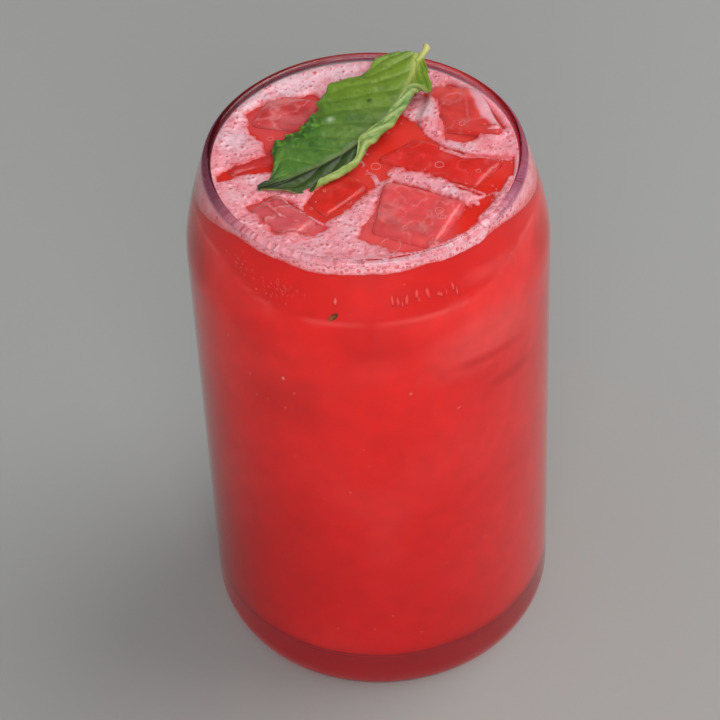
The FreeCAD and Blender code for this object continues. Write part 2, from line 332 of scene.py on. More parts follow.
def noise_of(tree, scale, detail, distortion=0):
    """Noise that is fixed to the piece. scale is in cells per metre."""
    place = node(tree, "ShaderNodeTexCoord").outputs["Object"]
    settings = {"Vector": place, "Scale": scale, "Detail": detail, "Distortion": distortion}
    return node(tree, "ShaderNodeTexNoise", settings).outputs["Fac"]


def dented(tree, strength, height):
    """The normal of a surface with dents of up to 0.2 mm."""
    return node(tree, "ShaderNodeBump", {"Strength": strength, "Distance": 0.0002, "Height": height}).outputs[0]


def mapped(tree, value, start, end, low, high):
    """A value from start to end, mapped to one from low to high."""
    settings = {"Value": value, "From Min": start, "From Max": end, "To Min": low, "To Max": high}
    return node(tree, "ShaderNodeMapRange", settings).outputs["Result"]


def two_shaders(tree, share, first, second):
    return node(tree, "ShaderNodeMixShader", {0: share, 1: first.outputs[0], 2: second.outputs[0]})


def lamps_pass(tree, clear, tint):
    """A clear shader through which lamps shine with this tint."""
    open_way = node(tree, "ShaderNodeBsdfTransparent", {"Color": tint})
    return two_shaders(tree, node(tree, "ShaderNodeLightPath").outputs["Is Shadow Ray"], clear, open_way)


def glass_material():
    material, tree = new_material("clear_glass")
    tree.nodes.clear()
    clear = node(tree, "ShaderNodeBsdfGlass", {"Color": tint_of(tree), "Roughness": 0, "IOR": 1.5})
    lit = lamps_pass(tree, clear, (0.97, 0.97, 0.97, 1))
    node(tree, "ShaderNodeOutputMaterial", {"Surface": lit.outputs[0]})
    return material


def tinted_material(name, roughness, subsurface, radius, bump, grain, specular=0.5, coat=0):
    """A wet, slightly see-into surface whose colour is the piece's tint, with fine grain in colour and height."""
    material, tree = new_material(name)
    cells = noise_of(tree, grain, 3)
    shade = mapped(tree, cells, 0, 1, 0.86, 1.14)
    colour = node(tree, "ShaderNodeMix", {"Factor": 1, 6: tint_of(tree), 7: shade},
                  data_type="RGBA", blend_type="MULTIPLY")
    shader = wired(tree, tree.nodes["Principled BSDF"], {
        "Base Color": colour.outputs[2], "Roughness": roughness, "Specular IOR Level": specular,
        "Subsurface Weight": subsurface, "Subsurface Radius": radius, "Subsurface Scale": 0.001,
        "Coat Weight": coat, "Coat Roughness": 0.06})
    if bump:
        wired(tree, shader, {"Normal": dented(tree, bump, cells)})
    return material


def juice_material():
    """The drink: pulpy and dull against the wall, wet on top, and with a painted glow on its downward faces, where it
    meets the thick glass floor.
    """
    material = tinted_material("juice", 0.35, 0.6, (6, 1.2, 1), 0, 260, specular=0)
    tree = material.node_tree
    facing = node(tree, "ShaderNodeNewGeometry").outputs["Normal"]
    upward = node(tree, "ShaderNodeSeparateXYZ", {"Vector": facing}).outputs["Z"]
    # Painted glow: emission on the downward faces stands in for the red light that the drink scatters into the glass
    # floor.
    wired(tree, tree.nodes["Principled BSDF"], {
        "Coat Weight": mapped(tree, upward, 0.6, 0.9, 0, 0.5),
        "Emission Strength": mapped(tree, upward, -0.3, -0.9, 0, 0.14), "Emission Color": rgba(255, 40, 60)})
    return material


def ice_material(name, milk, gloss):
    """Melting ice: clear and cloudy by turns, with the drink's red in it. milk is the cloudy share."""
    material, tree = new_material(name)
    tree.nodes.clear()
    clouds = noise_of(tree, 170, 4, 0.8)
    share = mapped(tree, clouds, 0.3, 0.7, max(milk - 0.2, 0), min(milk + 0.2, 1))
    dents = dented(tree, 0.35, noise_of(tree, 420, 2))
    clear = node(tree, "ShaderNodeBsdfGlass", {
        "Color": rgba(255, 240, 238), "Roughness": 0.03, "IOR": 1.31, "Normal": dents})
    cloudy = node(tree, "ShaderNodeBsdfPrincipled", {
        "Base Color": tint_of(tree), "Roughness": 0.22, "IOR": 1.31, "Normal": dents,
        "Subsurface Weight": 0.8, "Subsurface Radius": (3, 1, 0.9), "Subsurface Scale": 0.001,
        "Coat Weight": gloss, "Coat Roughness": 0.05})
    mix = two_shaders(tree, share, lamps_pass(tree, clear, rgba(255, 245, 244)), cloudy)
    node(tree, "ShaderNodeOutputMaterial", {"Surface": mix.outputs[0]})
    return material


# ---- turned shapes

def arc(centre, radius, start, end, count):
    angles = np.linspace(start, end, count)
    return np.column_stack((centre[0] + radius * np.cos(angles), centre[1] + radius * np.sin(angles)))


def shoulder(inset):
    """The two arcs of the shoulder from the side up to the mouth, this far inside the outer face."""
    small, large = BEND - inset, SLOPE - inset
    start = np.array((SIDE_TOP - inset, SHOULDER))
    mouth = np.array((MOUTH - inset, HEIGHT))
    lean = -math.atan2(SIDE_TOP - SIDE_LOW, SHOULDER - HEEL_Z)
    middle = start - small * np.array((math.cos(lean), math.sin(lean)))
    reach = mouth - middle
    apart = large - small
    share = (large**2 - apart**2 - reach @ reach) / (2 * apart * np.linalg.norm(reach))
    turn = math.atan2(reach[1], reach[0]) - math.acos(share)
    far = middle - apart * np.array((math.cos(turn), math.sin(turn)))
    last = math.atan2(mouth[1] - far[1], mouth[0] - far[0])
    return np.vstack((arc(middle, small, lean, turn, 20), arc(far, large, turn, last, 20)[1:]))


def rounded(before, corner, after, radius):
    """The arc that rounds a corner between two lines of points, with both trimmed to meet it."""
    corner = np.asarray(corner, float)
    back, ahead = before[-2] - corner, after[1] - corner
    back, ahead = back / np.linalg.norm(back), ahead / np.linalg.norm(ahead)
    half = math.acos(np.clip(back @ ahead, -1, 1)) / 2
    cut = radius / math.tan(half)
    middle = corner + (back + ahead) / np.linalg.norm(back + ahead) * radius / math.sin(half)
    first, last = corner + back * cut - middle, corner + ahead * cut - middle
    start = math.atan2(first[1], first[0])
    sweep = (math.atan2(last[1], last[0]) - start + math.pi) % (2 * math.pi) - math.pi
    kept_before = before[np.linalg.norm(before - corner, axis=1) > cut * 1.05]
    kept_after = after[np.linalg.norm(after - corner, axis=1) > cut * 1.05]
    return kept_before, arc(middle, radius, start, start + sweep, 10), kept_after


def line(start, end, count):
    return np.linspace(np.array(start, float), np.array(end, float), count)


def inner_side(inset, low_rows, high_rows):
    """The inside of the can from its floor to the mouth, this far inside the outer face."""
    base = FLOOR + inset - WALL
    round_corner = arc((SIDE_LOW - inset - CORNER, base + CORNER), CORNER, -math.pi / 2, 0, 14)
    split = SHOULDER - 22
    lean = (SIDE_TOP - SIDE_LOW) * (split - base - CORNER) / (SHOULDER - base - CORNER)
    low = line((SIDE_LOW - inset, base + CORNER), (SIDE_LOW + lean - inset, split), low_rows)
    high = line((SIDE_LOW + lean - inset, split), (SIDE_TOP - inset, SHOULDER), high_rows)
    return np.vstack((line((0, base), (SIDE_LOW - inset - CORNER, base), 12), round_corner[1:], low[1:], high[1:]))


def lathe(name, profile, segments, material):
    """Turn a section whose two ends lie on the axis."""
    rings = profile[1:-1]
    points = round_axis(turns(segments), rings[:, :1], rings[:, 1:]).reshape(-1, 3)
    ends = ((0, 0, profile[0, 1]), (0, 0, profile[-1, 1]))
    return new_piece(name, np.vstack((points, *ends)), tube_faces(len(rings), segments), material)


def make_glass():
    punt_radius = (PUNT_R**2 + PUNT_Z**2) / (2 * PUNT_Z)
    dome = arc((0, PUNT_Z - punt_radius), punt_radius, math.pi / 2, math.acos(PUNT_R / punt_radius), 30)
    heel_radius = (HEEL_Z**2 + (SIDE_LOW - HEEL_R) ** 2) / (2 * (SIDE_LOW - HEEL_R))
    heel = arc((SIDE_LOW - heel_radius, HEEL_Z), heel_radius, -math.asin(HEEL_Z / heel_radius), 0, 24)
    foot, foot_arc, heel = rounded(line((PUNT_R, 0), (HEEL_R, 0), 8), (HEEL_R, 0), heel, FOOT_ROUND)
    side = line((SIDE_LOW, HEEL_Z), (SIDE_TOP, SHOULDER), 30)
    outer = np.vstack((heel, side[1:], shoulder(0)[1:]))
    inner = np.vstack((inner_side(WALL, 24, 12), shoulder(WALL)[1:]))[::-1]
    flat = line(outer[-1], inner[0], 5)
    outer, first_lip, _ = rounded(outer, outer[-1], flat, LIP_ROUND)
    _, second_lip, inner = rounded(flat, inner[0], inner, LIP_ROUND)
    near_corner = np.array([(PUNT_R - 0.03, dome[-2][1] * 0.02), (PUNT_R, 0), (PUNT_R + 0.03, 0)])
    profile = np.vstack((dome[:-1], near_corner, foot[1:], foot_arc, outer, first_lip, second_lip, inner))
    piece = lathe("glass_wall", profile, GLASS_SIDES, glass_material())
    x, y, z = points_of(piece.data).T
    turn = np.abs(np.arctan2(x, -y))
    # Painted shade: the lip is tinted dark purple, most at its left and right sides, and a dark purple line is painted
    # inside the front of the lip.
    shaded_sides = eased(0.7, 1.25, turn) * (1 - eased(1.9, 2.5, turn))
    lip = eased(HEIGHT - 1.6, HEIGHT - 0.6, z)
    inmost = MOUTH - WALL
    painted_dark_line = eased(inmost + 0.75, inmost + 0.35, np.hypot(x, y)) * eased(HEIGHT - 1.5, HEIGHT - 1, z)
    paint(piece.data, painted(
        filled((252, 253, 252), x.shape),
        ((186, 166, 190), lip * (0.12 + 0.88 * shaded_sides)),
        ((132, 84, 112), 0.75 * painted_dark_line * (1 - shaded_sides))))
    return piece


def inner_radius(height):
    """The radius of the inside wall at these heights on the shoulder."""
    curve = shoulder(WALL)
    return np.interp(height, curve[:, 1], curve[:, 0])


# ---- ice

def ice_tint(number, points):
    """The colour of a cube: the red that shines through it, milky clouds and thin melt lines."""
    x, y, z = points.T
    u, v = x + 0.4 * z, y + 0.5 * z
    _, red, pale, lines = ICE_LOOKS[number]
    swirl = rough(320 + number, u, v, 5)
    colour = painted(
        filled(red, u.shape),
        ((250, 150, 150), pale * eased(0, 0.7, rough(300 + number, u, v, 4.5))),
        ((255, 176, 176), lines * hump(swirl, 0.045)),
        ((196, 30, 34), 0.8 * lines * hump(swirl - 0.11, 0.04)))
    for outline, shade, strength in ICE_PATCHES.get(number, ()):
        inside = inside_by(x, y, outline) + 0.6 * rough(340, u, v, 2)
        colour = painted(colour, (shade, strength * eased(-0.5, 0.7, inside)))
    return colour


# Each cube: how cloudy it is, the red in it, how pale its clouds are, and how strong its melt lines are.
ICE_LOOKS = {
    1: (0.85, (246, 90, 92), 0.45, 0.3), 2: (0.72, (240, 46, 38), 0.12, 0.12),
    3: (0.8, (234, 74, 68), 0.25, 0.25), 4: (0.75, (222, 76, 78), 0.35, 0.4),
    5: (0.8, (238, 102, 108), 0.45, 0.75), 6: (0.7, (234, 46, 34), 0.08, 0.05),
    7: (0.7, (222, 54, 52), 0.1, 0.1),
}
# Pale places on the ice, in millimetres from the middle of the glass: outline, colour and strength.
ICE_PATCHES = {
    3: ((((22, 18.5), (25.5, 19.5), (31.5, 10), (31.5, 5), (27.6, 6.4), (24.4, 10.5)), (252, 184, 194), 0.9),
        (((11, 24), (11, 7), (13.6, 6.5), (14.6, 12), (14.2, 18), (17, 24)), (252, 196, 204), 0.8)),
    4: ((((-24.5, 18.6), (-9, 23.5), (-9, 20.8), (-23, 17.2)), (238, 138, 140), 0.7),),
}


def ice_piece(number):
    """A cube as the CAD has it, with its faces melted uneven."""
    piece = new_object(f"ice_{number}", frame["nodes"][f"ice_cube_{number}"].data.copy())
    blocks = piece.modifiers.new("blocks", "REMESH")
    blocks.mode, blocks.voxel_size = "VOXEL", ICE_VOXEL * MM
    smooth = piece.modifiers.new("smooth", "SMOOTH")
    smooth.factor, smooth.iterations = 0.5, 8
    mesh = baked(piece)
    points, outward = points_of(mesh), normals_of(mesh)
    seed = Vector((7.3 * number, 3.1 * number, 0))
    slow = np.array([noise.noise(Vector(p) * 0.17 + seed) for p in points])
    quick = np.array([noise.noise(Vector(p) * 0.5 + seed * 2) for p in points])
    points += outward * (0.42 * slow + 0.12 * quick)[:, None]
    move_points(mesh, points)
    dressed(mesh, ice_material(f"ice_look_{number}", ICE_LOOKS[number][0], 0.2 if number == 3 else 0.35))
    paint(mesh, ice_tint(number, points))
    return piece


# ---- drink

def side_tint(angle, height):
    """The drink's colour as it shows through the wall, with painted shade on its left side and at its lower corner by
    the glass floor, and painted light on its right side.
    """
    across = angle * SIDE_TOP
    # left and right weigh the painted shade on the left side and the painted light on the right side
    left = eased(-0.1, -1, angle) * (1 - eased(2.2, 3.1, -angle))
    right = eased(0.2, 1.1, angle) * (1 - eased(2.2, 3.1, angle))
    clouds = rough(11, across, height, 17)
    bend = rough(61, across, height, 6)
    line_z = 112.6 + 4.0 * eased(20, 42, np.abs(across)) + 0.8 * bend
    above = eased(-0.5, 0.9, height - line_z)
    below = np.exp(-np.clip(line_z - height, 0, None) / 5) * (1 - above)
    crest = hump(height - line_z, 0.5) * eased(-0.1, 0.5, soft(63, across, 0, 9))
    colour = painted(
        filled((210, 10, 16), angle.shape),
        ((232, 34, 30), eased(15, 118, height)),
        # painted shade: darker red on the left side, most towards the bottom; painted light: paler red on the right
        # side
        ((188, 4, 10), 0.6 * left * eased(98, 20, height)),
        ((228, 58, 60), 0.55 * right),
        ((190, 6, 8), 0.3 * eased(0.05, 0.6, clouds)),
        ((232, 64, 64), 0.25 * eased(0.05, 0.6, -clouds)),
        ((214, 22, 18), 0.45 * above),
        ((238, 86, 82), 0.34 * below * eased(-0.5, 0.3, bend + 0.4 * np.sign(across))),
        ((242, 120, 116), 0.35 * crest))
    for middle, level, wide, tall, tilt, strength, deep in SUNK_SHADES:
        u, v = rotated(across - middle, height - level, -tilt)
        reach = ((np.abs(u) / wide) ** 3 + (np.abs(v) / tall) ** 3) ** (1 / 3) + 0.16 * bend
        colour = painted(colour, (deep, strength * (1 - eased(0.35, 1.3, reach))))
    # Painted shade: a dark purple-red band and a darker line where the drink's rounded lower corner meets the thick
    # glass floor.
    return painted(
        colour,
        ((190, 4, 26), 0.9 * eased(9.9, 9.3, height) * eased(8, 8.3, height)),
        ((70, 8, 30), 0.9 * hump(height - 10.1, 0.45)))


# Soft shapes of sunk ice against the wall: place round the wall, height, half sizes, tilt, strength, colour.
RED, ROSE, DEEP_RED = (200, 12, 12), (238, 104, 102), (206, 10, 6)
SUNK_SHADES = (
    (1, 107.5, 10, 6, 0, 0.6, RED), (-20, 88, 12, 8, 0.1, 0.55, RED), (-27, 104, 8, 6, 0.3, 0.35, RED),
    (25, 101, 14, 8, 0.1, 0.4, ROSE), (26, 95.6, 11, 1.5, -0.14, 0.65, RED), (34, 86, 8, 1.6, -0.12, 0.6, RED),
    (-50, 110.5, 8, 5, 0, 0.9, DEEP_RED), (51, 110.5, 8, 5, 0, 0.9, DEEP_RED),
    (30, 116.5, 9, 1.8, -0.1, 0.25, ROSE), (75, 104, 12, 9, 0.3, 0.4, RED), (104, 108, 12, 7, -0.3, 0.4, ROSE),
    (-75, 106, 12, 8, 0.2, 0.4, RED), (-104, 102, 11, 9, -0.2, 0.4, ROSE),
)


def drink_radius(height):
    """The radius of the drink's face at these heights."""
    inset = WALL - DRINK_REACH
    curve = np.vstack((inner_side(inset, 20, 20)[11:], shoulder(inset)[1:]))
    return np.interp(height, curve[:, 1], curve[:, 0])


def grain_places():
    """Every grain on the wall: place round the wall, height, half sizes, tilt and colour."""
    rng = np.random.default_rng(5)
    some, near = rng.uniform, rng.normal
    grains = [(some(-math.pi, math.pi) * SIDE_TOP, some(13, 121), some(0.1, 0.22), some(0.1, 0.22),
               some(0, math.pi), (242, 124, 108)) for _ in range(150)]
    grains += [(-20.2, 95, 0.45, 0.6, 0.2, (248, 150, 132)), (7.5, 93, 0.4, 0.4, 0, (246, 140, 120)),
               (18.3, 85, 0.6, 0.25, 0.3, (240, 130, 120)), (-8, 117.5, 0.45, 0.9, 0, (246, 128, 118))]
    grains += [(near(0, 2.4) - 20.8, near(0, 1.3) + 117.2, some(0.12, 0.45), some(0.1, 0.28),
                some(0, math.pi), (232, 74, 70)) for _ in range(40)]
    grains += [(4.5 + 15.0 * share + near(0, 0.5), near(0, 0.7) + 117, some(0.2, 0.5), some(0.5, 1.4),
                some(-0.15, 0.15), (242, 88, 84)) for share in np.linspace(0, 1, 13)]
    grains += [(36.3 + 0.8 * math.cos(turn), 114.2 + 1.9 * math.sin(turn), 0.12, 0.35, turn * 0.5,
                (238, 96, 90)) for turn in np.linspace(-1.2, 3.4, 13)]
    grains += [(near(0, 3) - 33, near(0, 1.2) + 118.5, some(0.1, 0.3), some(0.1, 0.2), 0,
                (234, 84, 80)) for _ in range(24)]
    return grains


def flecks():
    """Pulp, sunk bubbles and melt marks that lie against the wall: flat grains a hair proud of the drink."""
    sides = 12
    corners = turns(sides)
    points, faces, tints = [], [], []
    for across, level, wide, tall, turn, shade in grain_places():
        middle = across / SIDE_TOP
        faces += shifted(tube_faces(2, sides), len(points))
        for size, proud in ((1, 0.008), (0.6, 0.03)):
            u, v = rotated(wide * np.cos(corners), tall * np.sin(corners), turn)
            z = level + size * v
            points += [*round_axis((across + size * u) / SIDE_TOP, drink_radius(z) + proud, z)]
        points += [round_axis(middle, drink_radius(level) + proud, level) for proud in (-0.05, 0.04)]
        around, full = side_tint(np.array(middle), np.array(float(level))), linear(*shade)
        rim = ring = full
        if max(wide, tall) > 0.3:
            rim, ring = mixed(around, full, 0.2), mixed(around, full, 0.6)
        tints += [rim] * sides + [ring] * sides + [rim, full]
    return new_piece("pulp_flecks", points, faces, PULP_LOOK, np.array(tints))


def herb_fleck():
    """The brown fleck of herb under the shoulder."""
    rings, around = 12, 20
    across, level, turn = -8.4, 113.9, 0.7
    polar, side = math.pi * np.arange(1, rings)[:, None] / rings, turns(around)
    u, v = rotated(1.35 * np.cos(polar), 0.62 * np.sin(polar) * np.cos(side), turn)
    radius = drink_radius(level + v) + 0.16 * np.sin(polar) * np.sin(side)
    points = round_axis((across + u) / SIDE_TOP, radius, level + v).reshape(-1, 3)
    faces = grid_faces(rings - 1, around, wrap=True)
    faces += [tuple(range(around))[::-1], tuple((rings - 2) * around + i for i in range(around))]
    shade = eased(-0.4, 0.5, soft(77, points[:, 0] * 3, points[:, 2] * 3, 1))
    tints = painted(filled((96, 46, 20), shade.shape), ((150, 92, 40), shade))
    return new_piece("herb_fleck", points, faces, PULP_LOOK, tints)


def top_tint(x, y):
    """The drink's colour from above, which takes on the colour of the ice that it laps over."""
    shade = rough(31, x, y, 9)
    colour = painted(filled((232, 42, 30), x.shape), ((236, 62, 54), eased(-0.5, 0.5, shade)))
    for number, place in ((4, 0), (5, 2), (1, 5), (3, 6)):
        inside = inside_by(x, y, OPEN_PLACES[place]) + 1.5 * shade
        east = eased(14, 20, x) if number == 1 else 0
        colour = painted(colour, (ICE_LOOKS[number][1], 0.8 * eased(-1.5, 1, inside) * (1 - east)))
    return colour


def cut_rooms(piece, ice):
    """Cut a room for each cube out of the drink, a little smaller than the cube, and return the new mesh."""
    rooms = bpy.data.collections.new("rooms")
    bpy.context.scene.collection.children.link(rooms)
    for cube in ice:
        cutter = bpy.data.objects.new("room", cube.data.copy())
        rooms.objects.link(cutter)
        move_points(cutter.data, points_of(cutter.data) - normals_of(cutter.data) * ROOM_MARGIN)
        cutter.modifiers.new("fewer", "DECIMATE").ratio = 0.3
        baked(cutter)
    cut = piece.modifiers.new("rooms", "BOOLEAN")
    cut.operation, cut.operand_type, cut.solver, cut.collection = "DIFFERENCE", "COLLECTION", "MANIFOLD", rooms
    mesh = baked(piece)
    for cutter in list(rooms.objects):
        bpy.data.objects.remove(cutter)
    bpy.data.collections.remove(rooms)
    return mesh


def make_drink(ice):
    inset = WALL - DRINK_REACH
    bend = shoulder(inset)
    edge = float(np.interp(DRINK_EDGE, bend[:, 1], bend[:, 0]))
    lip = [(edge - 0.15, DRINK_TOP - 0.25), (edge - 0.6, DRINK_TOP)]
    top = line((edge - 1.2, DRINK_TOP), (0, DRINK_TOP), 44)
    profile = np.vstack((inner_side(inset, 46, 34), bend[bend[:, 1] < DRINK_EDGE][1:], lip, top))
    piece = lathe("drink_body", profile, DRINK_SIDES, juice_material())
    points = points_of(piece.data)
    x, y, z = points.T
    upper = z > DRINK_TOP - 0.3
    colours = np.where(upper[:, None], top_tint(x, y), side_tint(np.arctan2(x, -y), z))
    points[:, 2] += np.where(upper & (np.hypot(x, y) < edge - 1), soft(41, x, y, 4) * 0.06, 0)
    move_points(piece.data, points)
    paint(piece.data, colours)
    mesh = cut_rooms(piece, ice)
    layer = mesh.color_attributes["tint"].data
    tints = rows_of(layer, "color", 4)
    x, y, z = points_of(mesh).T
    # Painted light: the walls of the rooms under the ice are painted a bright red, as little light reaches them through
    # the ice.
    tints[(np.hypot(x, y) < edge - 1.5) & (z < DRINK_TOP - 0.3) & (z > 90), :3] = linear(255, 78, 66)
    layer.foreach_set("color", tints.ravel())
    dressed(mesh, bpy.data.materials["juice"])
    mesh.set_sharp_from_angle(angle=math.radians(40))
    return piece


# ---- foam

PINK, PALE, DEEP = (255, 158, 168), (250, 198, 207), (196, 40, 54)
STEP = 0.25
# The largest bubbles against the wall: angle, size and lift above the foam's low edge.
LARGE_BUBBLES = (
    (0.02, 0.62, 0.6), (0.085, 0.78, 0.7), (0.165, 0.7, 0.6), (0.235, 0.8, 0.5), (-0.14, 0.5, 0.6), (0.32, 0.55, 0.5),
)


def foam_side():
    """The foam against the wall: low at the front, deep and thin at the sides and back, streaked and bubbly."""
    angles = np.linspace(-math.pi, math.pi, BAND_SIDES, endpoint=False)
    across = angles * MOUTH
    aside = eased(0.85, 1.6, np.abs(angles))
    low = SKIRT_LOW + 0.5 * rough(71, across, 0, 6) + 0.18 * rough(75, across, 9, 1.2)
    low -= 5.6 * aside + 0.5 * aside * rough(77, across, 3, 9)
    share = np.linspace(0, 1, 30)[:, None] ** 1.15
    height = low * (1 - share) + (FOAM_TOP + 0.35) * share
    radius = inner_radius(height) + FOAM_REACH
    radius = np.where(share < 0.05, radius - 0.35, radius)
    streaks = rough(81, across, height * 0.12, 0.5)
    grain = rough(93, across, height, 0.42)
    blotch = rough(85, across, height, 2.6)
    pits = eased(0.28, 0.5, rough(91, across, height, 0.8))
    pale = eased(-0.3, 0.9, 0.8 * streaks + 0.5 * blotch + 0.7 * eased(0.1, 0.8, angles) * (1 - aside))
    colour = painted(
        filled(PINK, height.shape), (PALE, 0.85 * pale), (DEEP, 0.55 * pits * (1 - 0.5 * share)),
        ((214, 72, 84), 0.5 * eased(0.1, 0.6, streaks + 0.6 * grain) * (1 - 0.4 * share)))
    rng = np.random.default_rng(8)
    for number in range(SIDE_BUBBLES):
        where, size, lift = rng.uniform(-math.pi, math.pi), 0.18 + 0.5 * rng.uniform() ** 2, rng.exponential(0.8)
        if number < len(LARGE_BUBBLES):
            where, size, lift = LARGE_BUBBLES[number]
        level = np.interp(where, angles, low) + size + lift
        gap = np.hypot((angles - where) * MOUTH, height - level) / size
        hollow = 0.85 * (1 - eased(0.6, 0.85, gap))
        colour = painted(colour, ((222, 84, 96), hollow), (PALE, 0.75 * hump(gap - 1.05, 0.18)))
    fade = 1 - eased(0, 0.9 + 5.0 * aside, height - low + 0.5 * blotch)
    colour = painted(colour, ((228, 84, 84), (0.85 - 0.25 * aside) * fade))
    rings, tints = [*round_axis(angles, radius, height)], [*colour]
    for row, inward, lift in ((-1, 0.35, 0.12), (-1, 0.8, 0.05), (-1, 1.25, -0.25), (-1, 1.5, -0.8), (0, 1.2, 0.6)):
        rings.append(round_axis(angles, radius[row] - inward, height[row] + lift))
        tints.append(colour[row])
    faces = grid_faces(len(rings), BAND_SIDES, wrap=True, closed=True)
    return new_piece("foam_band", np.vstack(rings), faces, FOAM_LOOK, np.vstack(tints))


def near_line(x, y, points):
    """How far each place lies from a line through these points."""
    best = np.full(np.shape(x), 1e9)
    for (x0, y0), (x1, y1) in zip(points, points[1:]):
        dx, dy = x1 - x0, y1 - y0
        share = np.clip(((x - x0) * dx + (y - y0) * dy) / (dx * dx + dy * dy), 0, 1)
        best = np.minimum(best, np.hypot(x - x0 - share * dx, y - y0 - share * dy))
    return best


def inside_by(x, y, outline):
    """How far each place lies inside an outline, or outside it where negative."""
    edge = near_line(x, y, (*outline, outline[0]))
    inside = np.zeros(np.shape(x), bool)
    for (x0, y0), (x1, y1) in zip(outline, (*outline[1:], outline[0])):
        if y0 != y1:
            crosses = ((y0 > y) != (y1 > y)) & (x < x0 + (y - y0) * (x1 - x0) / (y1 - y0))
            inside ^= crosses
    return np.where(inside, edge, -edge)


def surface_heights(x, y, pieces):
    """The height of the topmost piece under each place, or 0 where there is none."""
    vertices, faces = [], []
    for piece in pieces:
        faces += shifted((face.vertices for face in piece.data.polygons), len(vertices))
        vertices += [vertex.co for vertex in piece.data.vertices]
    tree = BVHTree.FromPolygons(vertices, faces)
    found = np.zeros(np.shape(x))
    for index in np.ndindex(x.shape):
        start = Vector((x[index] * MM, y[index] * MM, 0.14))
        hit = tree.ray_cast(start, Vector((0, 0, -1)), 0.03)[0]
        if hit is not None:
            found[index] = hit.z / MM
    return found


# Where ice and red drink show through the foam: outlines on the top, in millimetres from the middle of the glass.
OPEN_PLACES = (
    ((-24, 17), (-21, 19.6), (-10, 22.4), (-6, 16), (-12, 8), (-17, 2.6), (-20, 3.4), (-20.5, 8), (-23, 11)),
    ((-31, -3.6), (-29, -1.4), (-19, 3.4), (-14, 1), (-19, -0.6), (-24.7, -1.8)),
    ((-24, -12.5), (-19.7, -9.8), (-16.5, -11.6), (-12, -16), (-9, -19.5), (-11, -21.6), (-15.5, -20.8),
     (-18.6, -20.2), (-22, -15.5)),
    ((-12.6, -13), (-10, -9), (-4, -1), (0.5, 2), (2, -4.5), (1.7, -7.5), (-2, -11.7), (-8.3, -17.3),
     (-9.8, -18.6), (-12.4, -15.5)),
    ((0.3, -0.3), (3, 9), (8, 14), (11.2, 11), (13.5, 5.8), (17, 2.6), (20.3, 0.2), (30.5, -1), (31, -6), (28.3, -10.5),
     (23, -11.7), (16, -6), (6, -1.4), (3.9, -5), (1.7, -5.4)),
    ((3.9, -8.6), (6, -6.9), (16, -11.9), (20.6, -15), (25.5, -12), (26.5, -15), (22, -21.5), (16.5, -25.4),
     (10.5, -27.8), (4.5, -27), (-1.4, -23), (0.6, -18)),
    ((13.6, 21), (18.5, 24), (21.5, 23.4), (24.5, 21), (29.6, 12), (29, 8.8), (26, 7), (20.5, 5.8), (17.6, 6.8),
     (16.3, 12), (16.2, 17)),
)
# Strips of foam that cross them: the line down the middle of each, its half width and how whole it is.
FOAM_STRIPS = (
    (((5.4, -3.8), (11, -7.4), (16, -10), (20.5, -13)), 1.35, 0.8),
    (((20.5, -13), (22.5, -14.6)), 0.7, 0.9),
    (((18, -8), (24, -11.6)), 0.5, 0.45),
    (((16, 2.4), (20.3, -0.4), (25, -0.2), (30, -1)), 0.8, 0.5),
    (((-0.8, 0.2), (0.2, -3.2), (1.8, -4.6), (2.6, -7.5)), 0.9, 0.75),
    (((30, -8), (27.5, -14), (23.5, -19.5)), 1.5, 0.95),
    (((23.5, -19.5), (18.5, -24), (12.5, -27.4)), 0.9, 0.35),
    (((-17.6, -10.2), (-14.5, -14.6), (-9.2, -18.6)), 0.5, 0.7),
    (((-20.5, -12.6), (-17.6, -16.4), (-14, -18.4)), 0.6, 0.45),
)
# The whitest foam: the middle of each place, how far it reaches, and how white it is.
WHITE_PLACES = (
    (-14, 27, 7, 1), (-4, 30.5, 6, 0.9), (-23, 20, 6, 0.9), (-28, 9, 5, 0.8), (-27, -9, 4, 0.35),
    (13, 14.8, 3.2, 1), (20, 3.4, 4, 0.7), (12, -8.4, 4, 0.25), (17, -10.8, 2.4, 0.7), (-4, -20, 4, 0.5),
    (25, 24, 5, 0.7), (28, 16, 4, 0.8), (-23, -4, 3, 0.6), (1.5, -7, 2, 0.5), (-10, -24, 4, 0.3),
    (-21, -16, 3, 0.4), (0, -29, 5, 0.4), (-12, -27, 5, 0.35),
)


def foam_amount(x, y):
    """How much foam lies at each place: above 0 where it shows."""
    wander = rough(101, x, y, 2.2) + 0.6 * rough(104, x, y, 0.9)
    open_by = np.max([inside_by(x, y, outline) for outline in OPEN_PLACES], axis=0)
    amount = 1 - 2 * eased(-1.9, 1.5, open_by + 0.6 * wander) - 1.2 * eased(0.3, 1.2, open_by)
    for middle, half, whole in FOAM_STRIPS:
        gap = near_line(x, y, middle) + 0.35 * half * wander
        strip = np.clip(whole + 0.5 * (wander - 0.2), -0.2, 1) - 1.8 * eased(0.6 * half, 1.4 * half, gap)
        amount = np.maximum(amount, strip)
    return amount


